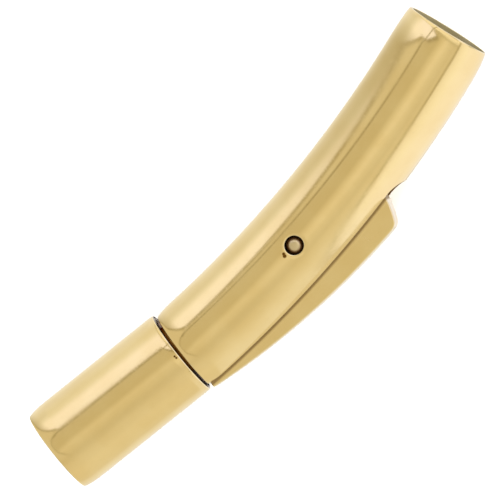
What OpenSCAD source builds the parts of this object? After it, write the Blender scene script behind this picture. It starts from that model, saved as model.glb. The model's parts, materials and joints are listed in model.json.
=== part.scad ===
// Curved lever clasp for a round cord. It lies on its side: the bend is in the XY plane, the
// pivot pin stands along Z, X runs from the end cap to the tube's open mouth, and the lever
// sits on the outside of the bend, towards -Y. All sizes are in millimetres and degrees.

/* [Tube] */
// Outer diameter of the tube and of the end cap
tube_od = 6.15; // [5.9:0.05:6.4]
// Thickness of the tube's wall behind its cord socket
tube_wall = 0.45; // [0.35:0.05:0.5]
// Radius of the bend, to the middle of the tube
bend_r = 83.6; // [80:0.2:100]
// Turn of the bend from the joint face to its lowest point
joint_turn = 5.8; // [5.6:0.1:6.2]
// Turn of the bend from its lowest point to the middle of the mouth
mouth_turn = 13; // [12.6:0.1:13.6]
// Turn of the bend from the joint face to the end of the bore; a solid web closes it
bore_turn = 12.7; // [12.6:0.1:13.2]
// Bevel on the outer rims of the tube's mouth and of the cap
rim_bevel = 0.1; // [0.05:0.01:0.15]

/* [Cord sockets] */
// Diameter of both sockets, for a 5 mm cord and its glue
socket_d = 5.5; // [5.3:0.05:5.6]
// Depth of the straight socket in the tube's mouth
tube_socket_l = 6; // [4:0.5:7]

/* [End cap and tongue] */
// Length of the end cap
cap_l = 10.5; // [9:0.1:12]
// How much further the cap leans than the end of the tube does
cap_turn = 2.7; // [2:0.1:3.2]
// Open joint between the cap and the tube
cap_gap = 0.2; // [0.15:0.05:0.3]
// Play that sets the cap towards the inside of the bend
cap_shift = 0.15; // [0:0.05:0.2]
// Depth of the tongue's plug in the cap
plug_l = 4.4; // [3:0.1:5]
// Diameter of the tongue's plug
plug_d = 4.9; // [4.8:0.05:5]
// Diameter of the tongue
tongue_d = 4.2; // [4:0.1:4.3]
// Reach of the tongue past the joint face
tongue_l = 5.4; // [5.2:0.1:6]
// Distance from the tube's middle to the flat top of the tongue
tongue_top = 1.3; // [1.2:0.05:1.4]
// Distance from the tube's middle to the floor of the tongue's notch
notch_floor = 0.2; // [0.1:0.05:0.3]
// Start of the notch past the joint face
notch_start = 1.3; // [1:0.1:1.4]
// Length of the notch
notch_l = 2.3; // [2.2:0.1:2.6]
// Bevel round the tongue's tip
tip_bevel = 0.4; // [0.2:0.1:0.6]
// Length of the ramp on the tip, which lifts the lever as the cap is pushed in
ramp_l = 1; // [0.6:0.1:1.2]

/* [Lever] */
// Width of the slot for the lever
slot_w = 2.8; // [2.6:0.05:3]
// Turn of the bend from the joint face to the round end of the slot
slot_turn = 12.25; // [12:0.05:12.5]
// Gap at each side of the lever
lever_gap = 0.075; // [0.05:0.005:0.1]
// Radius of the lever's back
back_r = 56.6; // [54:0.2:60]
// Height of the back over the pivot, at its highest point
back_h = 4; // [3.9:0.05:4.2]
// Distance from the pivot to the highest point of the back, towards the tail
back_x = 2.85; // [2.6:0.05:3]
// Radius of the tail's face, about the pivot
tail_r = 6.64; // [6.4:0.02:6.7]
// Set-back of the lever's nose from the joint face
nose_gap = 0.15; // [0.15:0.05:0.3]
// Distance from the tube's middle to the inner side of the lever's front arm
arm_in = 1.7; // [1.6:0.05:1.8]
// Distance from the tube's middle to the end of the lever's lip
lip_in = 0.45; // [0.4:0.05:0.6]
// Start of the lip past the joint face
lip_start = 1.5; // [1.5:0.05:1.6]
// Length of the lip
lip_l = 1.8; // [1.6:0.05:1.8]
// Distance from the pivot to the inner side of the tail, towards the back
tail_in = 1.62; // [1.62:0.02:1.8]
// Reach of the web that joins the lever's arm to its boss
web_l = 3.6; // [3.2:0.1:4]

/* [Pivot] */
// Turn of the bend from the joint face to the pivot
pin_turn = 7.04; // [7:0.02:7.1]
// Offset of the pivot from the tube's middle, towards the lever's back
pin_offset = 0.2; // [0.1:0.05:0.3]
// Diameter of the pivot pin
pin_d = 1.2; // [1.1:0.05:1.2]
// Diameter of the pin's holes in the tube
pin_hole_d = 1.28; // [1.28:0.02:1.4]
// Gap all round between the pin and the lever's bore
pin_play = 0.02; // [0.015:0.005:0.04]
// Depth of the pin's ends under the tube's surface
pin_recess = 0.15; // [0.1:0.05:0.2]
// Bevel on the pin's ends
pin_bevel = 0.19; // [0.1:0.01:0.2]
// Diameter of the lever's boss round the pin
boss_d = 2.2; // [2:0.1:2.4]

/* [Return spring] */
// Width of the leaf spring
leaf_w = 1.8; // [1.4:0.1:1.8]
// Thickness of the leaf spring
leaf_t = 0.2; // [0.15:0.05:0.2]
// Radius of the leaf's curved part
leaf_r = 9; // [8.9:0.05:9]
// Turn of the leaf's curved part
leaf_turn = 56; // [54:1:56]
// Length of the leaf's straight foot
leaf_foot = 3.5; // [2:0.5:4]

/* [Hidden] */

gold = [0.85, 0.7, 0.42];
steel = [0.72, 0.72, 0.74];

// Round shapes, and the long arcs of the bend and of the lever's back
round_fn = 96;
arc_fn = 720;
// Anything longer than the clasp is wide, for cuts that run right through
through = 3 * tube_od;

tube_bore = tube_od - 2 * tube_wall;
tube_r = tube_od / 2;
plug_seat_d = plug_d + 0.1;
lead_in = 0.1;
lean = joint_turn + cap_turn;

pin_at = on_bend(bend_r + pin_offset, pin_turn - joint_turn);
pin_half_l = tube_r - pin_recess;
rim_sink = 0.1;

lever_w = slot_w - 2 * lever_gap;
back_centre = [back_x, back_r - back_h];
web_foot = 2;

slot_end_turn = slot_turn - joint_turn - deg(slot_w / 2 / bend_r);
socket_mid_turn = mouth_turn - deg(tube_socket_l / 2 / bend_r);
mouth_sag = bend_r - sqrt(pow(bend_r, 2) - pow(tube_socket_l / 2, 2));

leaf_start = -1;
leaf_top = 2.52;

// Box of the whole clasp, from its four outermost points
cap_end = joint_point([-cap_gap - cap_l, cap_shift]);
x_low = cap_end.x - tube_r * sin(lean);
x_high = mouth_corner(bend_r + tube_r).x;
y_high = max(cap_end.y + tube_r * cos(lean), mouth_corner(bend_r - tube_r).y);
y_low = pin_at.y - back_h;
box_middle = [(x_low + x_high) / 2, (y_low + y_high) / 2];

// Degrees of an angle in radians
function deg(radians) = radians * 180 / PI;

// A point at radius r from the bend's centre, turned from the bend's lowest point
function on_bend(r, turn) = [r * sin(turn), -r * cos(turn)];

// A corner of the mouth's face at radius r from the bend's centre
function mouth_corner(r) = on_bend(r, socket_mid_turn + asin(tube_socket_l / 2 / r));

// A point given along and across the cap's axis, from the middle of the tube's joint face
function joint_point(p) =
    on_bend(bend_r, -joint_turn)
    + [p.x * cos(lean) + p.y * sin(lean), -p.x * sin(lean) + p.y * cos(lean)];

// Moves the bend's centre to its place over the origin, with the clasp's box standing on z = 0
module lay_down() {
    translate([-box_middle.x, -box_middle.y, tube_r]) children();
}

// Middle line of the tube at a turn: x runs towards the mouth, y to the inside of the bend
module at_bend(turn) {
    translate(on_bend(bend_r, turn)) rotate([0, 0, turn]) children();
}

// Middle of the mouth, which is faced square to its socket: x runs out along the socket
module at_mouth() {
    at_bend(socket_mid_turn) translate([tube_socket_l / 2, 0, 0]) children();
}

// Middle of the joint face: x runs along the cap's axis into the tube
module at_joint() {
    translate(on_bend(bend_r, -joint_turn)) rotate([0, 0, -lean]) children();
}

module at_pin() {
    translate(pin_at) children();
}

// Round bar along the bend
module bent_rod(d, from, to) {
    rotate([0, 0, from - 90])
        rotate_extrude(angle = to - from, $fn = arc_fn)
            translate([bend_r, 0]) circle(d = d, $fn = round_fn);
}

// Slot for the lever: open at the joint face, round at the tail
module lever_slot() {
    rotate([0, 0, -joint_turn - cap_turn - 90])
        rotate_extrude(angle = slot_end_turn + joint_turn + cap_turn, $fn = arc_fn)
            translate([bend_r, -slot_w / 2]) square([tube_od, slot_w]);
    at_bend(slot_end_turn) rotate([90, 0, 0])
        cylinder(d = slot_w, h = tube_od, $fn = round_fn);
}

// Straight socket in the mouth, on the tangent at half its depth, with its edge broken
module tube_socket() {
    at_mouth() translate([-tube_socket_l, 0, 0]) rotate([0, 90, 0])
        cylinder(d = socket_d, h = tube_socket_l + 1, $fn = round_fn);
    at_mouth() translate([-lead_in, 0, 0]) rotate([0, 90, 0])
        cylinder(d1 = socket_d, d2 = socket_d + 4 * lead_in, h = 2 * lead_in, $fn = round_fn);
}

// Ring that bevels the outer rim of a round end, which looks along +Z
module rim_cut() {
    rotate_extrude($fn = round_fn)
        polygon([
            [tube_r - rim_bevel, 0],
            [tube_r + rim_bevel, -2 * rim_bevel],
            [tube_r + rim_bevel, rim_bevel],
            [tube_r - rim_bevel, rim_bevel],
        ]);
}

// Pin hole through both walls, with its edges broken
module pin_hole() {
    cylinder(d = pin_hole_d, h = through, center = true, $fn = round_fn);
    for (side = [0, 1]) mirror([0, 0, side]) translate([0, 0, tube_r - rim_sink])
        cylinder(d1 = pin_hole_d, d2 = pin_hole_d + 4 * rim_sink, h = 2 * rim_sink, $fn = round_fn);
}

module tube() {
    color(gold) lay_down() difference() {
        bent_rod(tube_od, -joint_turn - cap_turn, mouth_turn + 1);
        bent_rod(tube_bore, -joint_turn - 2 * cap_turn, bore_turn - joint_turn);
        at_joint() translate([-through, -through / 2, -through / 2]) cube(through);
        at_mouth() translate([0, -through / 2, -through / 2]) cube(through);
        at_mouth() translate([0, mouth_sag, 0]) rotate([0, 90, 0]) rim_cut();
        tube_socket();
        lever_slot();
        at_pin() pin_hole();
    }
}

module end_cap() {
    color(gold) lay_down() at_joint() translate([-cap_gap, cap_shift, 0]) rotate([0, -90, 0])
        rotate_extrude($fn = round_fn)
            polygon([
                [plug_seat_d / 2, 0],
                [tube_r - rim_bevel / 2, 0],
                [tube_r, rim_bevel / 2],
                [tube_r, cap_l - rim_bevel],
                [tube_r - rim_bevel, cap_l],
                [socket_d / 2 + lead_in, cap_l],
                [socket_d / 2, cap_l - lead_in],
                [socket_d / 2, plug_l],
                [plug_seat_d / 2, plug_l],
            ]);
}

// Plug in the cap, and the round tongue that it carries into the tube
module tongue_bar() {
    tip_x = plug_l + cap_gap + tongue_l;
    translate([-cap_gap - plug_l, cap_shift, 0]) rotate([0, 90, 0])
        rotate_extrude($fn = round_fn)
            polygon([
                [0, 0],
                [plug_d / 2, 0],
                [plug_d / 2, plug_l],
                [tongue_d / 2, plug_l],
                [tongue_d / 2, tip_x - tip_bevel],
                [tongue_d / 2 - tip_bevel, tip_x],
                [0, tip_x],
            ]);
}

// Flat top, notch for the lever's lip and ramp at the tip
module tongue() {
    ramp_start = tongue_l - ramp_l;
    color(gold) lay_down() at_joint() difference() {
        tongue_bar();
        translate([-cap_gap, -tongue_top - through, -through / 2]) cube(through);
        translate([notch_start, -notch_floor - through, -through / 2])
            cube([notch_l, through, through]);
        linear_extrude(height = through, center = true)
            polygon([
                [ramp_start, -tongue_top],
                [ramp_start, -through],
                [tongue_l + 1, -through],
                [tongue_l + 1, -notch_floor],
                [tongue_l, -notch_floor],
            ]);
    }
}

// Side view of the lever, from the pivot
module lever_outline() {
    intersection() {
        translate(back_centre) circle(r = back_r, $fn = arc_fn);
        union() {
            circle(d = boss_d, $fn = round_fn);
            intersection() {
                circle(r = tail_r, $fn = arc_fn);
                translate([0, -through - tail_in]) square(through);
            }
            polygon([
                [0, 0],
                [-boss_d / 3, boss_d / 3],
                [-web_l, -web_foot],
                [-web_l, -back_h],
                [0, -back_h],
            ]);
            translate(-pin_at) translate(on_bend(bend_r, -joint_turn)) rotate(-lean) {
                translate([nose_gap, -arm_in - through])
                    square([tube_bore + web_l, through]);
                translate([lip_start, -lip_in - through]) square([lip_l, through]);
            }
        }
    }
}

module lever() {
    color(gold) lay_down() at_pin() difference() {
        linear_extrude(height = lever_w, center = true) lever_outline();
        cylinder(d = pin_d + 2 * pin_play, h = through, center = true, $fn = round_fn);
    }
}

module pivot_pin() {
    color(gold) lay_down() at_pin()
        rotate_extrude($fn = round_fn)
            polygon([
                [0, -pin_half_l],
                [pin_d / 2 - pin_bevel, -pin_half_l],
                [pin_d / 2, -pin_half_l + pin_bevel],
                [pin_d / 2, pin_half_l - pin_bevel],
                [pin_d / 2 - pin_bevel, pin_half_l],
                [0, pin_half_l],
            ]);
}

// Side view of the leaf, from the bend's centre: a straight foot that runs into an arc
module leaf_outline() {
    translate([-leaf_foot, leaf_r - leaf_t]) square([leaf_foot, leaf_t]);
    intersection() {
        difference() {
            circle(r = leaf_r, $fn = arc_fn);
            circle(r = leaf_r - leaf_t, $fn = arc_fn);
        }
        polygon([
            [0, 0],
            [0, 2 * leaf_r],
            [2 * leaf_r * sin(leaf_turn), 2 * leaf_r * cos(leaf_turn)],
        ]);
    }
}

// Leaf that lies on the inside of the bend and lifts the lever's tail
module return_spring() {
    color(steel) lay_down() at_pin() translate([leaf_start, leaf_top - leaf_r, 0])
        linear_extrude(height = leaf_w, center = true) leaf_outline();
}

tube();
end_cap();
tongue();
lever();
pivot_pin();
return_spring();
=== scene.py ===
import bmesh
import bpy
import json
import numpy as np
from math import acos, asin, atan, atan2, cos, hypot, pi, radians, sin
from mathutils import Matrix, Vector


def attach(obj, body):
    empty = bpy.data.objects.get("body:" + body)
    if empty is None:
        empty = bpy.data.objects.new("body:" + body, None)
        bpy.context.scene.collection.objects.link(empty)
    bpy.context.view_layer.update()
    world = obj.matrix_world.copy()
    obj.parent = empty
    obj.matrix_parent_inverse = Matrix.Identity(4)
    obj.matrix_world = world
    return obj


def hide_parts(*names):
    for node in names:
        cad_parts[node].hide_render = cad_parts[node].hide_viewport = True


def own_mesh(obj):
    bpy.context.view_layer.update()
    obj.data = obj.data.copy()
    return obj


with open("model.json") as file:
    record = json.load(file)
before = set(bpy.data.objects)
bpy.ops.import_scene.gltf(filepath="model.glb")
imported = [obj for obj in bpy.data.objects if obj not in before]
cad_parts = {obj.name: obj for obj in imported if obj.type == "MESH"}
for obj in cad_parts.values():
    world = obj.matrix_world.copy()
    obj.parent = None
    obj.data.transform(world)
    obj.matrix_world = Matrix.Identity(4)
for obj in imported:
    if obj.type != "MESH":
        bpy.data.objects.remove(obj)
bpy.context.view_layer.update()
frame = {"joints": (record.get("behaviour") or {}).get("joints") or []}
mm = 0.001

# Camera. It stands almost straight above the clasp, 1 m away with a long lens, turned so that
# the clasp climbs from the lower left of the square picture to the upper right.
pin_place = Vector(frame["joints"][0]["pos_m"])
toward_camera = Vector((0.088, -0.045, 1)).normalized()
picture_right = Vector((0.68198, -0.73137, 0))
picture_right = (picture_right - picture_right.dot(toward_camera) * toward_camera).normalized()
picture_up = toward_camera.cross(picture_right)
picture_middle = pin_place + Vector((-2.455, 2.046, 0)) * mm
camera_distance = 1
lens = bpy.data.cameras.new("photo_camera")
lens.sensor_width = 12.6
lens.lens = 384.55
lens.clip_start = 0.1
camera = bpy.data.objects.new("photo_camera", lens)
camera.matrix_world = (Matrix.Translation(picture_middle + camera_distance * toward_camera)
                       @ Matrix((picture_right, picture_up, toward_camera)).transposed().to_4x4())
bpy.context.scene.collection.objects.link(camera)
bpy.context.scene.camera = camera


# Curved tube. A stainless steel tube, bent to a gentle curve, slotted on the outside of the bend
# for the lever, cross drilled for the pin and bored at its mouth, then gold plated and polished.
# It is laid out flat, as a sheet along the bend and round the tube, and then rolled and bent.
bend_radius, tube_radius, bore_radius, socket_radius = 83.6 * mm, 3.075 * mm, 2.625 * mm, 2.75 * mm
joint_turn, cap_turn, mouth_turn = radians(5.8), radians(2.7), radians(13)
lean = joint_turn + cap_turn
pin_turn, pin_offset, pin_hole_radius = radians(1.24), 0.2 * mm, 0.64 * mm
slot_half, slot_end = 1.4 * mm, radians(5.49)
bore_end = radians(6.9)
socket_length = 6 * mm
socket_turn = mouth_turn - socket_length / 2 / bend_radius
# Columns round the sheet: to the slot's edge, to the side of the patch round the slot's end, and to
# the far side. Rows along it: beside the slot, over that patch, and on to the mouth. The patch round
# each pin hole takes the rows and columns between the last two pairs
SLOT_SPAN, EDGE_SPAN, SIDE_SPAN = 8, 15, 53
SLOT_ROWS, END_ROWS, MOUTH_ROWS = 60, 5, 36
PIN_ROWS, PIN_SPAN = (33, 41), (19, 32)
patch_side = radians(50)
outer_patch_end, inner_patch_end = radians(7.2), radians(6.8)

bend_centre = pin_place - (bend_radius + pin_offset) * Vector((sin(pin_turn), -cos(pin_turn), 0))

sheet_points, sheet_faces = [], []


def sheet_point(turn, angle, radius):
    sheet_points.append((bend_radius * turn, tube_radius * angle, radius))
    return len(sheet_points) - 1


def join_edges(first, second):
    for i in range(len(first) - 1):
        sheet_faces.append((first[i], first[i + 1], second[i + 1], second[i]))


def angles_round(radius):
    slot_edge = asin(slot_half / radius)
    half = ([slot_edge * i / SLOT_SPAN for i in range(SLOT_SPAN)]
            + [slot_edge + (patch_side - slot_edge) * i / (EDGE_SPAN - SLOT_SPAN)
               for i in range(EDGE_SPAN - SLOT_SPAN)]
            + [patch_side + (pi - patch_side) * i / (SIDE_SPAN - EDGE_SPAN)
               for i in range(SIDE_SPAN - EDGE_SPAN + 1)])
    return {sign * i: sign * a for i, a in enumerate(half) for sign in (1, -1)}


def joint_face_turn(radius, angle):
    return asin(bend_radius * sin(cap_turn) / (bend_radius + radius * cos(angle))) - lean


def skin(radius, patch_end, far_end, far_rows):
    """One skin of the tube; gives back the edges that the walls of the cuts join."""
    angle = angles_round(radius)
    row = {}
    for k in range(SLOT_ROWS + 1):
        for j, a in angle.items():
            if abs(j) < SLOT_SPAN:
                continue
            in_rows = PIN_ROWS[0] < k < PIN_ROWS[1]
            if in_rows and PIN_SPAN[0] < abs(j) < PIN_SPAN[1]:
                continue
            start = joint_face_turn(radius, a)
            row[k, j] = sheet_point(start + (slot_end - start) * k / SLOT_ROWS, a, radius)
    last = SLOT_ROWS + END_ROWS
    for k in range(SLOT_ROWS + 1, last + 1):
        for j, a in angle.items():
            if abs(j) >= EDGE_SPAN or k == last:
                part = (k - SLOT_ROWS) / END_ROWS
                row[k, j] = sheet_point(slot_end + (patch_end - slot_end) * part, a, radius)
    for k in range(last + 1, last + far_rows + 1):
        for j, a in angle.items():
            part = 1 - (1 - (k - last) / far_rows) ** 1.25
            row[k, j] = sheet_point(patch_end + (far_end(a) - patch_end) * part, a, radius)
    last += far_rows
    for k in range(last):
        for j in range(-SIDE_SPAN, SIDE_SPAN):
            corners = [(k, j), (k, j + 1), (k + 1, j + 1), (k + 1, j)]
            near, far = sorted((abs(j), abs(j + 1)))
            in_pin = PIN_ROWS[0] <= k < PIN_ROWS[1] and PIN_SPAN[0] <= near and far <= PIN_SPAN[1]
            in_slot = k < SLOT_ROWS and far <= SLOT_SPAN
            in_round = SLOT_ROWS <= k < SLOT_ROWS + END_ROWS and far <= EDGE_SPAN
            if not (in_pin or in_slot or in_round):
                sheet_faces.append(tuple(row[c] for c in corners))

    # Round end of the slot: rings from its half circle out to the rows and columns round it
    outer = ([(k, EDGE_SPAN) for k in range(SLOT_ROWS, SLOT_ROWS + END_ROWS)]
             + [(SLOT_ROWS + END_ROWS, j) for j in range(EDGE_SPAN, -EDGE_SPAN, -1)]
             + [(k, -EDGE_SPAN) for k in range(SLOT_ROWS + END_ROWS, SLOT_ROWS - 1, -1)])
    reach = radius * sin(angle[EDGE_SPAN]) - slot_half
    rings = []
    for i in range(EDGE_SPAN - SLOT_SPAN):
        share = (radius * sin(angle[SLOT_SPAN + i]) - slot_half) / reach
        ring = []
        for n, place in enumerate(outer):
            round_the_end = pi / 2 - pi * n / (len(outer) - 1)
            if n in (0, len(outer) - 1):
                sign = 1 if n == 0 else -1
                ring.append(row[SLOT_ROWS, sign * (SLOT_SPAN + i)])
                continue
            x0, z0 = slot_half * cos(round_the_end), slot_half * sin(round_the_end)
            x, y, _ = sheet_points[row[place]]
            along, a1 = x / bend_radius, y / tube_radius
            x1 = (bend_radius + radius * cos(a1)) * sin(along - slot_end)
            x, z = x0 + share * (x1 - x0), z0 + share * (radius * sin(a1) - z0)
            a = asin(z / radius)
            ring.append(sheet_point(slot_end + asin(x / (bend_radius + radius * cos(a))), a, radius))
        rings.append(ring)
    rings.append([row[place] for place in outer])
    for ring, wider in zip(rings, rings[1:]):
        join_edges(ring, wider)
    round_edge = rings[0]

    # Pin holes: rings from each hole out to the rows and columns round it
    holes = []
    for side in (1, -1):
        (k0, k1), (j0, j1) = PIN_ROWS, PIN_SPAN
        outer = ([(k, j0) for k in range(k0, k1)] + [(k1, j) for j in range(j0, j1)]
                 + [(k, j1) for k in range(k1, k0, -1)] + [(k0, j) for j in range(j1, j0, -1)])
        centre = (bend_radius + pin_offset) * Vector((sin(pin_turn), -cos(pin_turn)))
        rings = []
        for share in (0, 0.13, 0.33, 0.62):
            ring = []
            for k, j in outer:
                x, y, _ = sheet_points[row[k, side * j]]
                along, a1 = x / bend_radius, y / tube_radius
                far = (bend_radius + radius * cos(a1)) * Vector((sin(along), -cos(along)))
                near = centre + pin_hole_radius * (far - centre).normalized()
                spot = near + share * (far - near)
                a = side * acos((spot.length - bend_radius) / radius)
                ring.append(sheet_point(atan2(spot.x, -spot.y), a, radius))
            rings.append(ring + ring[:1])
        rings.append([row[k, side * j] for k, j in outer + outer[:1]])
        for ring, wider in zip(rings, rings[1:]):
            join_edges(ring, wider)
        holes.append(rings[0])

    slot_edge = ([row[k, SLOT_SPAN] for k in range(SLOT_ROWS)] + round_edge
                 + [row[k, -SLOT_SPAN] for k in range(SLOT_ROWS - 1, -1, -1)])
    joint_edges = [[row[0, sign * j] for j in range(SLOT_SPAN, SIDE_SPAN + 1)] for sign in (1, -1)]
    far_ring = [row[last, j] for j in range(-SIDE_SPAN, SIDE_SPAN + 1)]
    return slot_edge, joint_edges, holes, far_ring


def mouth_face_turn(angle):
    """The mouth is faced square to its straight socket, a little askew to the bend."""
    return socket_turn + asin(socket_length / 2 / (bend_radius + tube_radius * cos(angle)))


outer_slot, outer_joint, outer_holes, mouth_ring = skin(
    tube_radius, outer_patch_end, mouth_face_turn, MOUTH_ROWS)
inner_slot, inner_joint, inner_holes, bore_ring = skin(
    bore_radius, inner_patch_end, lambda a: bore_end, 1)
join_edges(outer_slot, inner_slot)
for outer_edge, inner_edge in zip(outer_joint + outer_holes, inner_joint + inner_holes):
    join_edges(outer_edge, inner_edge)


def socket_point(angle, along, radius):
    """A point of the straight cord socket, on the bend's tangent at half its depth."""
    reach = bend_radius + radius * cos(angle)
    out, up = hypot(reach, along) - bend_radius, radius * sin(angle)
    return sheet_point(socket_turn + atan(along / reach), atan2(up, out), hypot(out, up))


# The socket's wall and floor, and the other side of the web behind it
socket_angles, bore_angles = (
    [a for _, a in sorted(angles_round(radius).items())] for radius in (tube_radius, bore_radius))
socket_rings, web_rings = [mouth_ring], [bore_ring]
for share in (1, 0.75, 0.5, 0.25, 0):
    socket_rings.append([socket_point(a, socket_length * (share - 0.5), socket_radius)
                         for a in socket_angles])
for share in (0.66, 0.33, 0):
    socket_rings.append([socket_point(a, -socket_length / 2, share * socket_radius)
                         for a in socket_angles])
    web_rings.append([sheet_point(bore_end, a, share * bore_radius) for a in bore_angles])
for rings in (socket_rings, web_rings):
    for ring, next_ring in zip(rings, rings[1:]):
        join_edges(ring, next_ring)


def new_tree(name, sockets):
    """An empty Geometry Nodes tree with a mesh going in and out, and the named sizes given."""
    tree = bpy.data.node_groups.new(name, "GeometryNodeTree")
    tree.interface.new_socket("Mesh", in_out="INPUT", socket_type="NodeSocketGeometry")
    for label, kind in sockets:
        tree.interface.new_socket(label, in_out="INPUT", socket_type=kind)
    tree.interface.new_socket("Mesh", in_out="OUTPUT", socket_type="NodeSocketGeometry")
    return tree, tree.nodes.new("NodeGroupInput"), tree.nodes.new("NodeGroupOutput")


def feed(tree, socket, value):
    if hasattr(value, "is_output"):
        tree.links.new(value, socket)
    else:
        socket.default_value = value


def sum_of(tree, operation, *values):
    """A maths node in a tree, fed with sockets or numbers; gives back its result."""
    node = tree.nodes.new("ShaderNodeMath")
    node.operation = operation
    for socket, value in zip(node.inputs, values):
        feed(tree, socket, value)
    return node.outputs[0]


def product_of(tree, first, *others):
    """All the values given, multiplied."""
    for other in others:
        first = sum_of(tree, "MULTIPLY", first, other)
    return first


def finish_tree(tree, mesh, given, result):
    """Merges what meets, makes everything real, sets the finish and closes the tree."""
    merge = tree.nodes.new("GeometryNodeMergeByDistance")
    merge.inputs["Distance"].default_value = 0.002 * mm
    real = tree.nodes.new("GeometryNodeRealizeInstances")
    dress = tree.nodes.new("GeometryNodeSetMaterial")
    tree.links.new(mesh, merge.inputs["Geometry"])
    tree.links.new(merge.outputs[0], real.inputs[0])
    tree.links.new(real.outputs[0], dress.inputs["Geometry"])
    tree.links.new(given.outputs["Finish"], dress.inputs["Material"])
    tree.links.new(dress.outputs[0], result.inputs["Mesh"])


def run_tree(piece, tree, values):
    """Sets a tree's sizes on a piece and turns the result into the piece's own plain mesh."""
    shaper = piece.modifiers.new(tree.name, "NODES")
    shaper.node_group = tree
    for socket in tree.interface.items_tree:
        if socket.in_out == "INPUT" and socket.name in values:
            shaper[socket.identifier] = values[socket.name]
    made = piece.evaluated_get(bpy.context.evaluated_depsgraph_get())
    mesh = bpy.data.meshes.new_from_object(made)
    blank = piece.data
    piece.modifiers.clear()
    piece.data = mesh
    bpy.data.meshes.remove(blank)


def new_piece(name, points, faces, edges=()):
    mesh = bpy.data.meshes.new(name)
    mesh.from_pydata([tuple(p) for p in points], edges, faces)
    piece = bpy.data.objects.new(name, mesh)
    bpy.context.scene.collection.objects.link(piece)
    return piece


def break_edges(piece, width, steps=3, sharp=30):
    """Turns the faces outwards, rounds every sharp edge as polishing does, and marks it as worn."""
    bm = bmesh.new()
    bm.from_mesh(piece.data)
    bmesh.ops.recalc_face_normals(bm, faces=bm.faces)
    edges = [e for e in bm.edges if e.is_manifold and e.calc_face_angle() > radians(sharp)]
    rounded = bmesh.ops.bevel(bm, geom=edges, offset=width, offset_type="OFFSET", segments=steps,
                              profile=0.5, affect="EDGES", clamp_overlap=True, loop_slide=True,
                              material=-1)["faces"]
    worn = bm.verts.layers.float.new("worn")
    round_faces = set(rounded)
    for v in bm.verts:
        whole = sum(f.calc_area() for f in v.link_faces)
        v[worn] = sum(f.calc_area() for f in v.link_faces if f in round_faces) / max(whole, 1e-12)
    for f in bm.faces:
        f.smooth = True
    bm.to_mesh(piece.data)
    bm.free()


def mark(piece, name, is_marked):
    """Marks part of a piece for its finish: walls no wheel reaches, the pin's sunk end and the
    crevices, the last two for painted shade.
    """
    marked = piece.data.attributes.new(name, "FLOAT", "POINT")
    for v in piece.data.vertices:
        marked.data[v.index].value = 1.0 if is_marked(v.co) else 0.0


def smooth_normals(piece, true_normal=None):
    """Normals weighted by the area of the faces, so that flats stay flat beside round edges."""
    mesh = piece.data
    normals = np.zeros((len(mesh.vertices), 3))
    for face in mesh.polygons:
        for v in face.vertices:
            normals[v] += np.array(face.normal) * face.area
    if true_normal:
        for v in mesh.vertices:
            exact = true_normal(v.co)
            if exact is not None:
                normals[v.index] = exact
    normals /= np.maximum(np.linalg.norm(normals, axis=1, keepdims=True), 1e-12)
    mesh.normals_split_custom_set_from_vertices(normals.tolist())


roll, given, result = new_tree("Roll and bend", [
    ("Bend Radius", "NodeSocketFloat"), ("Tube Radius", "NodeSocketFloat"),
    ("Bend Centre", "NodeSocketVector"), ("Finish", "NodeSocketMaterial")])
flat = roll.nodes.new("ShaderNodeSeparateXYZ")
roll.links.new(roll.nodes.new("GeometryNodeInputPosition").outputs[0], flat.inputs[0])
turn = sum_of(roll, "DIVIDE", flat.outputs["X"], given.outputs["Bend Radius"])
angle = sum_of(roll, "DIVIDE", flat.outputs["Y"], given.outputs["Tube Radius"])
out = product_of(roll, flat.outputs["Z"], sum_of(roll, "COSINE", angle))
reach = sum_of(roll, "ADD", given.outputs["Bend Radius"], out)
bent = roll.nodes.new("ShaderNodeCombineXYZ")
feed(roll, bent.inputs["X"], product_of(roll, reach, sum_of(roll, "SINE", turn)))
feed(roll, bent.inputs["Y"], product_of(roll, reach, sum_of(roll, "COSINE", turn), -1))
feed(roll, bent.inputs["Z"], product_of(roll, flat.outputs["Z"], sum_of(roll, "SINE", angle)))
place = roll.nodes.new("ShaderNodeVectorMath")
roll.links.new(bent.outputs[0], place.inputs[0])
roll.links.new(given.outputs["Bend Centre"], place.inputs[1])
bend = roll.nodes.new("GeometryNodeSetPosition")
roll.links.new(given.outputs["Mesh"], bend.inputs["Geometry"])
roll.links.new(place.outputs[0], bend.inputs["Position"])
finish_tree(roll, bend.outputs[0], given, result)


def new_effect(name, given, made):
    """An empty shader group for an effect that several finishes share, with named sockets."""
    kinds = {"value": "NodeSocketFloat", "colour": "NodeSocketColor", "vector": "NodeSocketVector"}
    effect = bpy.data.node_groups.new(name, "ShaderNodeTree")
    for label, kind in given:
        effect.interface.new_socket(label, in_out="INPUT", socket_type=kinds[kind])
    for label, kind in made:
        effect.interface.new_socket(label, in_out="OUTPUT", socket_type=kinds[kind])
    start, end = (effect.nodes.new(kind) for kind in ("NodeGroupInput", "NodeGroupOutput"))
    return effect, start.outputs, end.inputs


def range_of(tree, value, low, high, out_low=0.0, out_high=1.0, soft=True):
    """Maps a value from one range to another, held at its ends."""
    node = tree.nodes.new("ShaderNodeMapRange")
    node.interpolation_type = "SMOOTHSTEP" if soft else "LINEAR"
    for socket, number in zip(node.inputs, (value, low, high, out_low, out_high)):
        feed(tree, socket, number)
    return node.outputs[0]


def mix_of(tree, share, first, second):
    node = tree.nodes.new("ShaderNodeMix")
    node.data_type = "RGBA"
    feed(tree, node.inputs["Factor"], share)
    for label, colour in (("A", first), ("B", second)):
        socket = [i for i in node.inputs if i.name == label and i.type == "RGBA"][0]
        feed(tree, socket, colour if hasattr(colour, "is_output") else (*colour, 1))
    return [o for o in node.outputs if o.type == "RGBA"][0]


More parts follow.
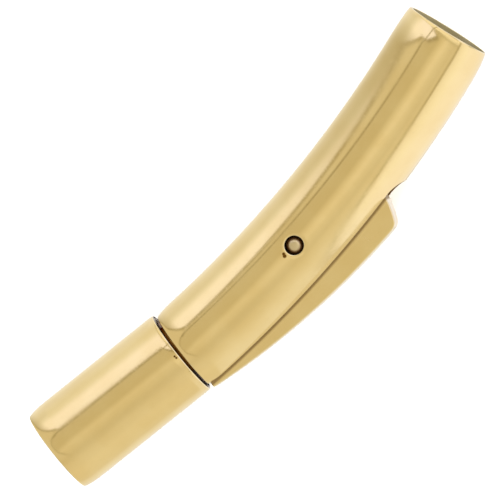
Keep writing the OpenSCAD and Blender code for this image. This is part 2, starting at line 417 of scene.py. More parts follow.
def grain_of(tree, place, size, detail=2.0, stretch=(1, 1, 1), turn=(0, 0, 0)):
    """Cloudy noise with features of about the given size, drawn out along one direction."""
    aim = tree.nodes.new("ShaderNodeMapping")
    feed(tree, aim.inputs["Vector"], place)
    aim.inputs["Scale"].default_value = stretch
    aim.inputs["Rotation"].default_value = turn
    grain = tree.nodes.new("ShaderNodeTexNoise")
    tree.links.new(aim.outputs[0], grain.inputs["Vector"])
    feed(tree, grain.inputs["Scale"], sum_of(tree, "DIVIDE", 1.0, size))
    grain.inputs["Detail"].default_value = detail
    return grain.outputs[0]


polish, given, made = new_effect("Hand polish", [
    ("Place", "vector"), ("Wave Size", "value"), ("Wave Height", "value"),
    ("Hairline Size", "value"), ("Hairline Height", "value")],
    [("Height", "value"), ("Hairlines", "value"), ("Haze", "value")])
waves = grain_of(polish, given["Place"], given["Wave Size"], 1.0, (0.35, 1, 1))
scratches = (grain_of(polish, given["Place"], given["Hairline Size"], 0.0, stretch, (0, 0, turn))
             for turn, stretch in ((0.15, (0.04, 1, 1)), (-0.5, (1, 0.05, 1))))
hairlines = sum_of(polish, "MAXIMUM", *(range_of(polish, grain, 0.66, 0.76) for grain in scratches))
feed(polish, made["Height"], sum_of(polish, "SUBTRACT",
                                    product_of(polish, waves, given["Wave Height"]),
                                    product_of(polish, hairlines, given["Hairline Height"])))
feed(polish, made["Hairlines"], hairlines)
haze = grain_of(polish, given["Place"], 3 * mm, 3.0)
feed(polish, made["Haze"], range_of(polish, haze, 0.35, 0.75))

plating, given, made = new_effect("Plating tone", [
    ("Place", "vector"), ("Colour", "colour"), ("Deep Colour", "colour"), ("Pit Size", "value")],
    [("Colour", "colour"), ("Pits", "value")])
clouds = range_of(plating, grain_of(plating, given["Place"], 2.2 * mm, 3.0), 0.3, 0.72)
feed(plating, made["Colour"], mix_of(plating, clouds, given["Colour"], given["Deep Colour"]))
dots = plating.nodes.new("ShaderNodeTexVoronoi")
feed(plating, dots.inputs["Vector"], given["Place"])
feed(plating, dots.inputs["Scale"], sum_of(plating, "DIVIDE", 0.06, given["Pit Size"]))
rare = range_of(plating, grain_of(plating, given["Place"], 1.1 * mm, 1.0), 0.62, 0.68)
feed(plating, made["Pits"], product_of(
    plating, rare, range_of(plating, dots.outputs["Distance"], 0.05, 0.02)))

edge_wear, given, made = new_effect("Polished edges", [
    ("Colour", "colour"), ("Worn", "value"), ("Bright Colour", "colour"),
    ("Inside", "value"), ("Inside Colour", "colour")], [("Colour", "colour")])
rubbed_bright = mix_of(edge_wear, product_of(edge_wear, given["Worn"], 0.6),
                       given["Colour"], given["Bright Colour"])
feed(edge_wear, made["Colour"],
     mix_of(edge_wear, given["Inside"], rubbed_bright, given["Inside Colour"]))


def place_effect(tree, effect, **values):
    """Puts a shared effect in a finish, with its own values."""
    node = tree.nodes.new("ShaderNodeGroup")
    node.node_tree = effect
    for label, value in values.items():
        feed(tree, node.inputs[label.replace("_", " ")], value)
    return node.outputs


def attribute_of(tree, name):
    node = tree.nodes.new("ShaderNodeAttribute")
    node.attribute_name = name
    return node.outputs["Fac"]


def distance_of(tree, place, spot):
    node = tree.nodes.new("ShaderNodeVectorMath")
    node.operation = "DISTANCE"
    feed(tree, node.inputs[0], place)
    node.inputs[1].default_value = spot
    return node.outputs["Value"]


def metal_finish(name, roughness, colour=(0.975, 0.77, 0.39), deep=(0.945, 0.73, 0.35),
                 bright=(0.99, 0.88, 0.6), wave_height=0.0034 * mm, wave_size=1.4 * mm,
                 hairline_size=0.09 * mm, hairline_height=0.0002 * mm, hazy=0.05,
                 inside=(0.72, 0.63, 0.36), mirrored=(0.96, 0.94, 0.88), tint=(1, 1, 1),
                 marks=(), seam_shade=None):
    """Plated or bare metal, polished. Marks are small dark spots, each a place and a radius: nicks
    on the cap and painted shade on the tube. A seam shade is a band of painted shade round the bend,
    between two distances from the bend's centre."""
    # The first brown paints pits, marks and the seam band; the second paints shade in the gaps
    pit_and_shade_brown, gap_shade_brown = (0.2, 0.09, 0.01), (0.26, 0.15, 0.04)
    mirrored_brown, mirrored_inside = (0.25, 0.12, 0.03), (0.62, 0.58, 0.48)
    seam_shade_share, dark_depth = 0.66, 0.006 * mm
    hairline_rough, inside_rough, dark_rough = 0.05, 0.3, 0.5

    material = bpy.data.materials.new(name)
    material.use_nodes = True
    tree = material.node_tree
    metal = tree.nodes["Principled BSDF"]
    metal.inputs["Metallic"].default_value = 1
    metal.inputs["Specular Tint"].default_value = (*tint, 1)
    place = tree.nodes.new("ShaderNodeTexCoord").outputs["Object"]
    rubbed = place_effect(tree, polish, Place=place, Wave_Size=wave_size, Wave_Height=wave_height,
                          Hairline_Size=hairline_size, Hairline_Height=hairline_height)
    toned = place_effect(tree, plating, Place=place, Colour=(*colour, 1), Deep_Colour=(*deep, 1),
                         Pit_Size=0.02 * mm)
    dark = toned["Pits"]
    # Marks darken small spots: painted shade beside the tube's pin hole, nicks on the cap
    for spot, radius in marks:
        dark_spot = range_of(tree, distance_of(tree, place, spot), radius, 0.5 * radius)
        dark = sum_of(tree, "MAXIMUM", dark, dark_spot)
    # The seam band: painted shade on the lever's face along the tube's edge
    if seam_shade:
        level = tree.nodes.new("ShaderNodeVectorMath")
        level.operation = "MULTIPLY"
        feed(tree, level.inputs[0], place)
        level.inputs[1].default_value = (1, 1, 0)
        from_centre = distance_of(tree, level.outputs[0], (bend_centre.x, bend_centre.y, 0))
        line = range_of(tree, from_centre, seam_shade[1], seam_shade[0], 0.0, seam_shade_share)
        dark = sum_of(tree, "MAXIMUM", dark, line)

    crevice_shade, worn, is_inside = (attribute_of(tree, label) for label in ("crevice_shade", "worn", "inside"))
    edged = place_effect(tree, edge_wear, Colour=toned["Colour"], Worn=worn,
                         Bright_Colour=(*bright, 1), Inside=is_inside, Inside_Colour=(*inside, 1))
    # Brown painted shade on the crevices; a darker brown on the pits, on the marks and on the seam
    # band
    seen = mix_of(tree, crevice_shade, mix_of(tree, dark, edged["Colour"], pit_and_shade_brown), gap_shade_brown)
    # In a neighbour's reflection this piece takes painted colours: paler on the whole, grey on its
    # inside walls and brown at its dark spots and crevices. These are painted reflections.
    mirrored = mix_of(tree, is_inside, mirrored, mirrored_inside)
    mirrored = mix_of(tree, sum_of(tree, "MAXIMUM", dark, crevice_shade), mirrored, mirrored_brown)
    in_mirror = tree.nodes.new("ShaderNodeLightPath").outputs["Is Glossy Ray"]
    feed(tree, metal.inputs["Base Color"], mix_of(tree, in_mirror, seen, mirrored))

    rough = roughness
    for share, added in ((rubbed["Haze"], hazy), (rubbed["Hairlines"], hairline_rough),
                         (is_inside, inside_rough), (dark, dark_rough)):
        rough = sum_of(tree, "ADD", rough, product_of(tree, share, added))
    feed(tree, metal.inputs["Roughness"], rough)
    relief = tree.nodes.new("ShaderNodeBump")
    relief.inputs["Distance"].default_value = 1
    feed(tree, relief.inputs["Height"], sum_of(tree, "SUBTRACT", rubbed["Height"],
                                               product_of(tree, dark, dark_depth)))
    tree.links.new(relief.outputs[0], metal.inputs["Normal"])
    return material


# The tube's two marks are painted shade: the dark wedge where the pale rim of the pin's hole ends
gold_plate = metal_finish("tube_plating", 0.1,
                          marks=[(pin_place + Vector((-0.93, -0.02, 3.07)) * mm, 0.17 * mm),
                                 (pin_place + Vector((-0.87, 0.12, 3.07)) * mm, 0.14 * mm)])


joint_place = bend_centre + bend_radius * Vector((-sin(joint_turn), -cos(joint_turn), 0))
into_tube = Vector((cos(lean), -sin(lean), 0))
out_of_mouth = Vector((cos(socket_turn), sin(socket_turn), 0))
mouth_place = (bend_centre + bend_radius * Vector((sin(socket_turn), -cos(socket_turn), 0))
               + socket_length / 2 * out_of_mouth)
# Where polishing has rubbed the surface down: how far it reaches from the edge, how deep it is
# at the edge and how fast it fades. The mouth shades as if it were rubbed down more steeply
joint_end, mouth_end = (1.3 * mm, 0.136 * mm, 2.3), (2.4 * mm, 0.157 * mm, 2.5)
hole_edge, lip_reach, lip_draw, mouth_steep = (0.25 * mm, 0.03 * mm, 2), 0.2 * mm, 0.015 * mm, 1.53
hair, mouth_to_slot = 0.01 * mm, 8.5 * mm


def drawn_in(distance, end=joint_end, lip_draw=lip_draw):
    """How far polishing has rubbed the surface down near an end, and the slope that this gives."""
    reach, draw, power = end
    left, lip = max(1 - distance / reach, 0), max(1 - distance / lip_reach, 0)
    return (draw * left ** power + lip_draw * lip ** 2,
            power * draw / reach * left ** (power - 1) + 2 * lip_draw / lip_reach * lip)


def tube_surface(place):
    """For a place on the tube: the way out from its middle to there, how far polishing rubs it
    down, and which way it then faces."""
    arm = place - bend_centre
    reach = hypot(arm.x, arm.y)
    beyond = reach - bend_radius
    out = Vector((arm.x / reach * beyond, arm.y / reach * beyond, arm.z))
    at_joint = drawn_in((place - joint_place).dot(into_tube))
    at_mouth = drawn_in((mouth_place - place).dot(out_of_mouth), mouth_end)
    from_pin = (place - pin_place).to_2d()
    at_hole = drawn_in(from_pin.length - pin_hole_radius, hole_edge)
    aim = (out.normalized() - at_joint[1] * into_tube + mouth_steep * at_mouth[1] * out_of_mouth
           - at_hole[1] * from_pin.normalized().to_3d())
    return out, at_joint[0] + at_mouth[0] + at_hole[0], aim.normalized()


def tube_normal(place):
    """Polishing rounds the joint face into the side, so it shades as the side does."""
    out, down, aim = tube_surface(place)
    on_joint_face = ((place - joint_place).dot(into_tube) < hair
                     and out.length + down > bore_radius + 0.1 * mm)
    return aim if on_joint_face or abs(out.length + down - tube_radius) < 0.3 * hair else None


def in_shaded_gap(place):
    """The walls of the lever's slot and of the pin's holes, and the joint face, which are painted
    brown as painted shade.
    """
    out, down, _ = tube_surface(place)
    wall = out.length + down < tube_radius - hair
    slot = (abs(out.z) < slot_half + hair and (place - bend_centre).to_2d().length > bend_radius
            and (mouth_place - place).dot(out_of_mouth) > mouth_to_slot)
    hole = (place - pin_place).to_2d().length < pin_hole_radius + hair
    return wall and (slot or hole or (place - joint_place).dot(into_tube) < hair)


def in_socket(place):
    """The walls of the cord socket and of the bore behind it."""
    depth = (mouth_place - place).dot(out_of_mouth)
    from_axis = (place - mouth_place + depth * out_of_mouth).length
    return (from_axis < socket_radius + 2 * hair and depth < socket_length + 10 * hair
            or tube_surface(place)[0].length < bore_radius + 3 * hair)


tube = new_piece("curved_tube", sheet_points, sheet_faces)
run_tree(tube, roll, {"Bend Radius": bend_radius, "Tube Radius": tube_radius,
                      "Bend Centre": bend_centre, "Finish": gold_plate})
break_edges(tube, 0.07 * mm)
for v in tube.data.vertices:
    out, down, _ = tube_surface(v.co)
    if out.length > tube_radius - 0.1 * mm:
        v.co -= down * out.normalized()
mark(tube, "inside", in_socket)
# The crevices get brown painted shade
mark(tube, "crevice_shade", in_shaded_gap)
smooth_normals(tube, tube_normal)
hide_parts("tube")
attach(tube, "clasp")


# End cap. A short straight piece of the same tube, turned square at both ends. One end takes the
# cord and the other is pressed over the tongue's plug, leaning a little more than the tube does.
cap_length, cap_gap, cap_shift = 10.5 * mm, 0.2 * mm, 0.15 * mm
plug_length, plug_seat_radius = 4.4 * mm, 2.5 * mm
across_joint = Vector((sin(lean), cos(lean), 0))

turned, given, result = new_tree("Turned part", [
    ("Steps Round", "NodeSocketInt"), ("Finish", "NodeSocketMaterial")])
count = turned.nodes.new("GeometryNodeAttributeDomainSize")
turned.links.new(given.outputs["Mesh"], count.inputs[0])
sheet = turned.nodes.new("GeometryNodeMeshGrid")
turned.links.new(sum_of(turned, "ADD", given.outputs["Steps Round"], 1), sheet.inputs["Vertices X"])
turned.links.new(count.outputs["Point Count"], sheet.inputs["Vertices Y"])
index = turned.nodes.new("GeometryNodeInputIndex").outputs[0]
step = sum_of(turned, "FLOOR", sum_of(turned, "DIVIDE", index, count.outputs["Point Count"]))
profile = turned.nodes.new("GeometryNodeSampleIndex")
profile.data_type = "FLOAT_VECTOR"
turned.links.new(given.outputs["Mesh"], profile.inputs["Geometry"])
turned.links.new(turned.nodes.new("GeometryNodeInputPosition").outputs[0], profile.inputs["Value"])
feed(turned, profile.inputs["Index"], sum_of(turned, "MODULO", index, count.outputs["Point Count"]))
cut = turned.nodes.new("ShaderNodeSeparateXYZ")
turned.links.new(profile.outputs[0], cut.inputs[0])
angle = sum_of(turned, "DIVIDE", product_of(turned, step, 2 * pi), given.outputs["Steps Round"])
spun = turned.nodes.new("ShaderNodeCombineXYZ")
for side, way in (("X", "COSINE"), ("Y", "SINE")):
    feed(turned, spun.inputs[side], product_of(turned, cut.outputs["X"], sum_of(turned, way, angle)))
turned.links.new(cut.outputs["Z"], spun.inputs["Z"])
spin = turned.nodes.new("GeometryNodeSetPosition")
turned.links.new(sheet.outputs["Mesh"], spin.inputs["Geometry"])
turned.links.new(spun.outputs[0], spin.inputs["Position"])
finish_tree(turned, spin.outputs[0], given, result)


def turned_piece(name, profile, steps_round, finish, place, axis, edge, is_inside, is_shaded_gap):
    """A lathe turning: its profile as radius and length, set down at a place along an axis."""
    piece = new_piece(name, [(r, 0, z) for r, z in profile], (),
                      [(i, i + 1) for i in range(len(profile) - 1)])
    run_tree(piece, turned, {"Steps Round": steps_round, "Finish": finish})
    side = axis.cross(Vector((0, 0, 1))) if abs(axis.z) < 0.9 else Vector((1, 0, 0))
    piece.data.transform(Matrix.Translation(place)
                         @ Matrix((axis.cross(side), side, axis)).transposed().to_4x4())
    break_edges(piece, edge)
    for mark_name, is_marked in (("inside", is_inside), ("crevice_shade", is_shaded_gap)):
        mark(piece, mark_name, lambda p: is_marked(
            ((p - place) - (p - place).dot(axis) * axis).length, (p - place).dot(axis)))
    smooth_normals(piece)
    return piece


cap_joint = joint_place - cap_gap * into_tube + cap_shift * across_joint
cap_joint_end = (0.55 * mm, 0.045 * mm, 2.3)
cap_plate = metal_finish("cap_plating", 0.1,
                         marks=[(pin_place + Vector((-10.67, 0.8, 3.07)) * mm, 0.1 * mm),
                                (pin_place + Vector((-10.66, 0.65, 3.07)) * mm, 0.1 * mm)])
# Rows along the cap, close together where polishing has rubbed its ends down
cap_rows = ([0.06 * mm * i for i in range(10)]
            + [0.6 * mm + (cap_length - 2 * mm) * i / 14 for i in range(14)]
            + [cap_length - 1.4 * mm + 0.14 * mm * i for i in range(11)])
cap_side = [(tube_radius - drawn_in(z, cap_joint_end, 0)[0] - drawn_in(cap_length - z)[0], z)
            for z in cap_rows]
cap_socket = [(socket_radius, cap_length), (socket_radius, (cap_length + plug_length) / 2),
              (socket_radius, plug_length), (plug_seat_radius, plug_length), (plug_seat_radius, 0)]
# The cap's joint face is marked for brown painted shade in the joint
cap = turned_piece("end_cap_shell", [(plug_seat_radius, 0)] + cap_side + cap_socket, 96, cap_plate,
                   cap_joint, -into_tube, 0.05 * mm,
                   lambda out, along: out < socket_radius + 3 * hair,
                   lambda out, along: along < hair and out < tube_radius - 8 * hair)


def cap_normal(place):
    """The face at the joint is domed by polishing, so it shades like the side that it runs into."""
    along = (place - cap_joint).dot(into_tube)
    out = place - cap_joint - along * into_tube
    at_face = abs(along) < hair and out.length > plug_seat_radius - 10 * hair
    return out.normalized() if at_face else None


smooth_normals(cap, cap_normal)
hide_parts("end_cap")
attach(cap, "clasp")


# Pivot pin. A turned and plated steel pin with rubbed ends, set through both walls of the tube
# and the lever's bore, and sunk a little under the surface.
pin_radius, pin_half = 0.6 * mm, 2.925 * mm
pin_end = [(0.15 * mm, 0), (0.3 * mm, 0.01 * mm), (0.45 * mm, 0.1 * mm), (0.53 * mm, 0.22 * mm),
           (pin_radius, 0.45 * mm)]
pin_face = 0.4 * mm
# The pin's inside colour is painted shade: dark brown on its sunk end round the flat face
pin_plate = metal_finish("pin_plating", 0.24, colour=(0.88, 0.72, 0.42), deep=(0.72, 0.6, 0.38),
                         wave_size=0.3 * mm, wave_height=0.006 * mm, hazy=0.14,
                         inside=(0.3, 0.16, 0.06))
pin_profile = [(0, -pin_half), *((r, down - pin_half) for r, down in pin_end), (pin_radius, 0),
               *((r, pin_half - down) for r, down in reversed(pin_end)), (0, pin_half)]
pin = turned_piece("cross_pin", pin_profile, 48, pin_plate, pin_place, Vector((0, 0, 1)),
                   0.03 * mm, lambda out, along: out > pin_face, lambda out, along: False)
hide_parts("pivot_pin")
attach(pin, "clasp")


# Lever. A flat steel bar with a curved back, cut to its outline, drilled for the pin and plated,
# its edges rounded by tumbling and polishing. Its lip drops into the notch of the tongue.
lever_half = 1.325 * mm
back_radius, back_height, back_along = 56.6 * mm, 3.998 * mm, 2.85 * mm
tail_radius, tail_in, tail_round = 6.64 * mm, 1.62 * mm, 0.38 * mm
boss_radius, bore_of_lever = 1.1 * mm, 0.62 * mm
web_start, web_end = Vector((-0.7333, 0.7333)) * mm, Vector((-3.6, -2)) * mm
nose_gap, arm_in, lip_in, lip_start, lip_length = 0.15 * mm, 1.7 * mm, 0.45 * mm, 1.5 * mm, 1.8 * mm
back_centre = Vector((back_along, back_radius - back_height))
joint_from_pin = (joint_place - pin_place).to_2d()


def by_joint(along, inward):
    """A place measured from the joint, into the tube and towards the inside of the bend."""
    return joint_from_pin + along * into_tube.to_2d() + inward * across_joint.to_2d()


def where_line_meets_circle(start, direction, centre, radius, sign):
    to_start = start - centre
    b, c = to_start.dot(direction), to_start.length_squared - radius * radius
    return start + direction * (-b + sign * (b * b - c) ** 0.5)


def arc(centre, start, end, steps):
    a0, a1 = (atan2(*reversed((p - centre)[:])) for p in (start, end))
    if a1 < a0:
        a1 += 2 * pi
    radius = (start - centre).length
    angles = [a0 + (a1 - a0) * i / steps for i in range(steps + 1)]
    return [centre + radius * Vector((cos(a), sin(a))) for a in angles]


nose = where_line_meets_circle(by_joint(nose_gap, 0), -across_joint.to_2d(),
                               back_centre, back_radius, 1)
gap = back_centre.length
back_to_pin = (back_radius ** 2 - tail_radius ** 2 + gap ** 2) / (2 * gap)
half_chord = (back_radius ** 2 - back_to_pin ** 2) ** 0.5
toward_pin = -back_centre / gap
tail_corner = (back_centre + back_to_pin * toward_pin
               + half_chord * Vector((-toward_pin.y, toward_pin.x)))
tail_top = Vector(((tail_radius ** 2 - tail_in ** 2) ** 0.5, -tail_in))
web_line = (web_end - web_start).normalized()
web_foot = where_line_meets_circle(web_start, web_line, Vector((0, 0)), boss_radius, 1)
arm_line, arm_start = -into_tube.to_2d(), by_joint(lip_start + lip_length, -arm_in)
cross = arm_line.x * web_line.y - arm_line.y * web_line.x
step = ((web_start - arm_start).x * web_line.y - (web_start - arm_start).y * web_line.x) / cross
web_corner = arm_start + step * arm_line
outline = (arc(back_centre, nose, tail_corner, 90)
           + arc(Vector((0, 0)), tail_corner, tail_top, 14)[1:] + [Vector((0, -tail_in))]
           + arc(Vector((0, 0)), Vector((0, -boss_radius)), web_foot, 28) + [web_corner, arm_start]
           + [by_joint(along, -inward) for along, inward in (
               (lip_start + lip_length, lip_in), (lip_start, lip_in), (lip_start, arm_in),
               (nose_gap, arm_in))])


def rounded(points, corner, reach):
    """Cuts an outline back by the same reach on both sides of a corner and rounds it off."""
    at = min(range(len(points)), key=lambda i: (points[i] - corner).length)
    first, last = at, at
    while (points[first] - corner).length < reach:
        first -= 1
    while (points[last] - corner).length < reach:
        last += 1
    a = corner + (points[first] - corner).normalized() * reach
    b = corner + (points[last] - corner).normalized() * reach
    curve = [(1 - t) ** 2 * a + 2 * t * (1 - t) * corner + t * t * b
             for t in (i / 8 for i in range(9))]
    return points[:first + 1] + curve + points[last:]


outline = rounded(outline, tail_corner, tail_round)


def bar_of(name, outline, half_width, middle):
    """A bar of even width from an outline, with its middle in the plane of the bend."""
    n = len(outline)
    points = [middle + Vector((p.x, p.y, side * half_width)) for side in (-1, 1) for p in outline]
    faces = [tuple(range(n - 1, -1, -1)), tuple(range(n, 2 * n))]
    faces += [(i, (i + 1) % n, n + (i + 1) % n, n + i) for i in range(n)]
    return new_piece(name, points, faces)


def flat_bar(name, outline, half_width, finish, middle, hole=None):
    """A flat bar of even width, cut to an outline in the plane of the bend."""
    piece = bar_of(name, outline, half_width, middle)
    piece.data.materials.append(finish)
    if hole:
        steps = [2 * pi * i / 48 for i in range(48)]
        bit = bar_of("drill", [Vector((hole * cos(a), hole * sin(a))) for a in steps],
                     2 * half_width, middle)
        drill = piece.modifiers.new("Bore", "BOOLEAN")
        drill.operation, drill.solver, drill.object = "DIFFERENCE", "EXACT", bit
        made = piece.evaluated_get(bpy.context.evaluated_depsgraph_get())
        mesh = bpy.data.meshes.new_from_object(made)
        piece.modifiers.clear()
        piece.data = mesh
        bpy.data.objects.remove(bit)
    return piece


seam = bend_radius + (tube_radius ** 2 - slot_half ** 2) ** 0.5
# The lever's face gets a band of painted shade along its seam with the tube
lever_plate = metal_finish("lever_plating", 0.16, hazy=0.08,
                           seam_shade=(seam + 0.07 * mm, seam + 0.22 * mm))
lever = flat_bar("lever_bar", outline, lever_half, lever_plate, pin_place, bore_of_lever)
break_edges(lever, 0.09 * mm)
smooth_normals(lever)
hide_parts("lever")
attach(lever, "lever")


# Return spring. A thin leaf of spring steel under the lever's tail. Its straight foot lies on the
# wall of the tube and its curved end bears on the tail, which flattens it as the lever is pressed.
leaf_half, leaf_thick, leaf_radius, leaf_turn = 0.9 * mm, 0.2 * mm, 9 * mm, radians(56)
leaf_foot, leaf_top, leaf_start = 3.5 * mm, 2.52 * mm, -1 * mm
leaf_middle = Vector((leaf_start, leaf_top - leaf_radius))
leaf_ways = [Vector((sin(leaf_turn * i / 32), cos(leaf_turn * i / 32))) for i in range(33)]
top_side = [leaf_middle + leaf_radius * way for way in leaf_ways]
under_side = [leaf_middle + (leaf_radius - leaf_thick) * way for way in reversed(leaf_ways)]
foot = [under_side[-1] - Vector((leaf_foot, 0)), top_side[0] - Vector((leaf_foot, 0))]


spring_steel = metal_finish("brushed_spring_steel", 0.3, colour=(0.56, 0.55, 0.53),
                            deep=(0.44, 0.43, 0.42), bright=(0.75, 0.74, 0.72),
                            hairline_size=0.05 * mm, hairline_height=0.0008 * mm)
spring = flat_bar("leaf_spring", list(reversed(top_side + under_side + foot)), leaf_half,
                  spring_steel, pin_place)
break_edges(spring, 0.03 * mm, steps=2)
smooth_normals(spring)
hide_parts("return_spring")
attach(spring, "clasp")
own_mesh(spring)


# Tongue. The plug in the cap and its notched post, one turned and milled piece of steel, plated and
# hidden inside. It shows only in the open joint and round the lever's nose, where its colour, edge
# tint and mirrored colour are painted dark brown as painted shade.
tongue_shade_plate = metal_finish("tongue_plating_painted_shade", 0.12, colour=(0.42, 0.21, 0.04),
                            deep=(0.32, 0.15, 0.02), wave_size=0.5 * mm,
                            mirrored=(0.25, 0.12, 0.03), tint=(0.35, 0.18, 0.06))
tongue = bpy.data.objects["tongue"]
for socket in tongue.material_slots:
    socket.material = tongue_shade_plate


# Table and light. A pale seamless table under a soft white dome. Two long softboxes with dark
# frames stand at the clasp's sides, which only the polished metal shows as separate shapes.
table_half = 600 * mm
table = new_piece("table", [(x * table_half, y * table_half, 0)
                            for x, y in ((-1, -1), (1, -1), (1, 1), (-1, 1))], [(0, 1, 2, 3)])
paper = bpy.data.materials.new("pale_table")
paper.use_nodes = True
matt = paper.node_tree.nodes["Principled BSDF"].inputs
matt["Base Color"].default_value = (0.88, 0.88, 0.88, 1)
matt["Roughness"].default_value = 1
matt["Specular IOR Level"].default_value = 0
table.data.materials.append(paper)
table.visible_glossy = False

bpy.context.scene.view_settings.view_transform = "Standard"
sky = bpy.data.worlds.new("soft_studio")
sky.use_nodes = True
sky.cycles.sampling_method = "NONE"
bpy.context.scene.world = sky
studio = sky.node_tree
look = studio.nodes.new("ShaderNodeSeparateXYZ")
studio.links.new(studio.nodes.new("ShaderNodeTexCoord").outputs["Generated"], look.inputs[0])
x, y, z = look.outputs
# Degrees from straight up to the clasp's outer side, and degrees towards its mouth
aside = sum_of(studio, "DEGREES", sum_of(studio, "ARCTAN2", sum_of(studio, "MULTIPLY", y, -1), z))
flank = sum_of(studio, "ADD", product_of(studio, y, y), product_of(studio, z, z))
ahead = sum_of(studio, "DEGREES", sum_of(
    studio, "ARCTAN2", x, sum_of(studio, "SQRT", flank)))


def ramp_of(tree, value, stops):
    """A colour that changes along a value, from the first stop to the last."""
    ramp = tree.nodes.new("ShaderNodeValToRGB")
    low, high = stops[0][0], stops[-1][0]
    feed(tree, ramp.inputs[0], range_of(tree, value, low, high, soft=False))
    elements = ramp.color_ramp.elements
    elements.remove(elements[1])
    for i, (at, colour) in enumerate(stops):
        element = elements[0] if i == 0 else elements.new((at - low) / (high - low))
        element.position = (at - low) / (high - low)
        element.color = (*colour, 1)
    return ramp.outputs[0]


def corner_of(tree, across, across_size, along, along_size):
    """Below 1 in a softbox whose corner is rounded: how far in it is, sideways and lengthways."""
    sides = (sum_of(tree, "MAXIMUM", sum_of(tree, "DIVIDE", distance, size), 0.0)
             for distance, size in ((across, across_size), (along, along_size)))
    a, b = (product_of(tree, side, side) for side in sides)
    return sum_of(tree, "SQRT", sum_of(tree, "ADD", a, b))


def light_of(red, blue):
    """A light's colour from its red and its blue; its green lies nearer to the red."""
    return (red, red - 0.27 * max(red - blue, 0), blue)


def lights_across(*stops):
    """Lights from one side of the clasp to the other: at how many degrees aside, red and blue."""
    return ramp_of(studio, aside, [(at, light_of(red, blue)) for at, red, blue in stops])


def put(share, light):
    """Lays a light over the room where its share is 1; gives back the room."""
    return mix_of(studio, share, room, light)


def along_of(low, high, out_low=0.0, out_high=1.0):
    """A value that changes evenly with the degrees towards the mouth."""
    return range_of(studio, ahead, low, high, out_low, out_high, soft=False)


# The room over the clasp, from the table on one side to the table on the other, first at the
# cap's end and then at the mouth's end
left_wall = ((-180, 0.9, 0.9), (-130, 0.57, 0.42), (-90, 0.56, 0.42), (-60, 0.62, 0.44),
             (-43, 0.63, 0.45), (-7, 0.62, 0.41))
room = lights_across(
    *left_wall, (-1, 0.68, 0.48), (5, 0.74, 0.54), (11, 0.71, 0.51), (17, 0.7, 0.5),
    (23, 0.67, 0.48), (29, 0.66, 0.47), (37, 0.68, 0.5), (47, 0.73, 0.55), (60, 0.75, 0.58),
    (77, 0.78, 0.6), (100, 0.77, 0.59), (120, 0.77, 0.61), (131, 0.84, 0.8), (180, 0.9, 0.9))
mouth_room = lights_across(
    *left_wall, (-1, 0.7, 0.49), (5, 0.77, 0.57), (11, 0.83, 0.65), (17, 0.82, 0.65),
    (23, 0.76, 0.57), (29, 0.73, 0.55), (37, 0.69, 0.5), (47, 0.74, 0.55), (60, 0.78, 0.62),
    (77, 0.84, 0.735), (90, 0.855, 0.785), (107, 0.86, 0.8), (131, 0.88, 0.85), (180, 0.9, 0.9))
change = sum_of(studio, "ADD", ahead, range_of(studio, aside, 35, 55, 0.0, 6.3))
room = put(range_of(studio, change, -5.9, -4.5), mouth_room)

# Beyond both ends of the clasp the room is lighter, behind a dark edge
far_edge = sum_of(studio, "SUBTRACT", sum_of(
    studio, "SUBTRACT", ahead, range_of(studio, aside, -40, -15, 12.5, 17.5, soft=False)),
    range_of(studio, aside, -15, 40, 0, 8, soft=False))
far_side = range_of(studio, aside, 70, 50)
room = put(product_of(studio, range_of(studio, far_edge, -1.6, -0.8), far_side), light_of(0.5, 0.32))
room = put(product_of(studio, range_of(studio, far_edge, 0.5, 1.3), far_side), light_of(0.97, 0.85))
near_edge = corner_of(
    studio, sum_of(studio, "SUBTRACT", -11, aside), 27.0,
    sum_of(studio, "SUBTRACT", range_of(studio, aside, 0, 40, -3.5, 8.5, soft=False), ahead), 22.5)
near_side = product_of(
    studio, range_of(studio, ahead, -5.2, -7.5), range_of(studio, aside, 34, 12))
near_line = product_of(
    studio, range_of(studio, near_edge, 0.93, 0.98), range_of(studio, near_edge, 1.07, 1.02))
room = put(product_of(studio, range_of(studio, near_edge, 1.0, 1.05), near_side),
           light_of(0.71, 0.53))
room = put(product_of(studio, near_line, near_side), light_of(0.44, 0.27))

# A softbox at each side, with a dark frame
left_width = sum_of(studio, "ADD", along_of(-2.2, 1.4, 54.0, 69.0), along_of(1.4, 12, 0.0, 14.0))
left_box = corner_of(studio, sum_of(studio, "ADD", aside, 100), left_width,
                     sum_of(studio, "SUBTRACT", 4, ahead), 19.0)
left_end = sum_of(studio, "DIVIDE", sum_of(studio, "SUBTRACT", ahead, 12), 10.0)
left_box = sum_of(studio, "MAXIMUM", left_box, sum_of(studio, "ADD", left_end, 1.0))
left_light = lights_across(
    (-180, 0.95, 0.95), (-142, 0.92, 0.92), (-127, 0.84, 0.87), (-115, 0.81, 0.8),
    (-103, 0.78, 0.75), (-97, 0.79, 0.77), (-91, 0.83, 0.83), (-85, 0.895, 0.93),
    (-79, 0.985, 1.08), (-73, 1.03, 1.17), (-45, 1.03, 1.2))
cap_light = lights_across(
    (-180, 0.95, 0.95), (-127, 0.89, 0.95), (-109, 0.85, 0.85), (-97, 0.83, 0.78),
    (-85, 0.86, 0.83), (-79, 0.9, 0.93), (-73, 0.98, 1.08), (-67, 1.04, 1.24), (-45, 1.04, 1.26))
left_light = mix_of(studio, range_of(studio, ahead, 1.0, 2.2), left_light, cap_light)
left_light = mix_of(studio, along_of(-14.5, -5.5), light_of(0.57, 0.46), left_light)
right_box = corner_of(studio, sum_of(studio, "SUBTRACT", 100, aside), 52.0,
                      sum_of(studio, "SUBTRACT", 5.5, ahead), 8.5)
right_light = lights_across(
    (50, 0.88, 0.8), (62, 0.97, 0.92), (74, 1.01, 1.02), (90, 1.01, 1.08), (130, 1.0, 1.1),
    (180, 0.95, 1))
frame_dark = lights_across(
    (-100, 0.46, 0.29), (-79, 0.42, 0.25), (-50, 0.48, 0.31), (-40, 0.38, 0.22), (55, 0.5, 0.32),
    (85, 0.56, 0.4))
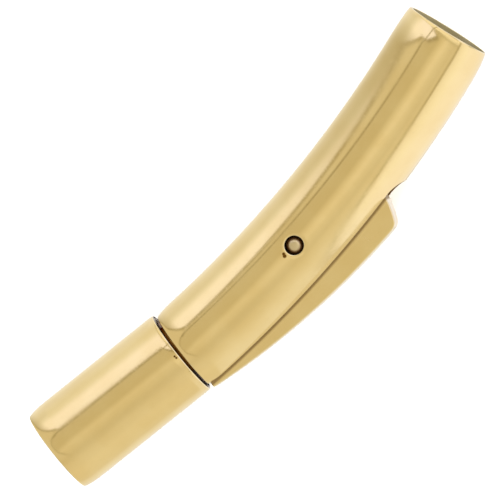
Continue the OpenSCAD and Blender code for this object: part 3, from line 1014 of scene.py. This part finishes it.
for box, light, box_edge, frame_end in ((left_box, left_light, 1.0, 1.12),
                                        (right_box, right_light, 0.93, 1.04)):
    room = put(range_of(studio, box, frame_end + 0.03, frame_end - 0.03), frame_dark)
    room = put(range_of(studio, box, box_edge + 0.02, box_edge - 0.02), light)

# A cable in front of the left softbox, and the dark that the cap's outer rim shows
cable = sum_of(studio, "ADD", aside, range_of(studio, ahead, -9, -4, 34.5, 36.8))
cable = sum_of(studio, "ADD", cable, range_of(studio, ahead, -2.2, -0.5, 0.0, -2.6))
room = put(product_of(studio, range_of(studio, cable, -1.8, -0.7), range_of(studio, cable, 1.8, 0.7),
                      range_of(studio, ahead, -13.0, -12.0)), light_of(0.38, 0.22))
room = put(range_of(studio, ahead, -45, -50), light_of(0.45, 0.33))

# The two end walls of the room, with a window at each side, for the clasp seen from its ends
end_wall = lights_across(
    (-180, 0.9, 0.9), (-130, 0.57, 0.42), (-92, 0.6, 0.45), (-84, 0.98, 0.92), (-48, 0.98, 0.92),
    (-40, 0.62, 0.44), (0, 0.72, 0.54), (36, 0.66, 0.48), (44, 0.96, 0.9), (78, 0.96, 0.9),
    (86, 0.6, 0.45), (130, 0.6, 0.45), (180, 0.9, 0.9))
room = put(range_of(studio, ahead, 36, 44), end_wall)
room = put(range_of(studio, ahead, -53, -60), end_wall)

# A bright strip of light across the far end, which the rim of the mouth shows as a pale line
room = put(product_of(studio, range_of(studio, ahead, 45, 49), range_of(studio, ahead, 65, 61),
                      range_of(studio, aside, -85, -65), range_of(studio, aside, 95, 75)),
           light_of(1.2, 1.7))

# Only the metal's reflections show the room. All else is lit by an even white dome
shown = studio.nodes["Background"]
studio.links.new(room, shown.inputs["Color"])
dome = studio.nodes.new("ShaderNodeBackground")
dome.inputs["Color"].default_value = (2.2, 2.2, 2.2, 1)
choose = studio.nodes.new("ShaderNodeMixShader")
studio.links.new(studio.nodes.new("ShaderNodeLightPath").outputs["Is Glossy Ray"], choose.inputs[0])
studio.links.new(dome.outputs[0], choose.inputs[1])
studio.links.new(shown.outputs[0], choose.inputs[2])
studio.links.new(choose.outputs[0], studio.nodes["World Output"].inputs["Surface"])
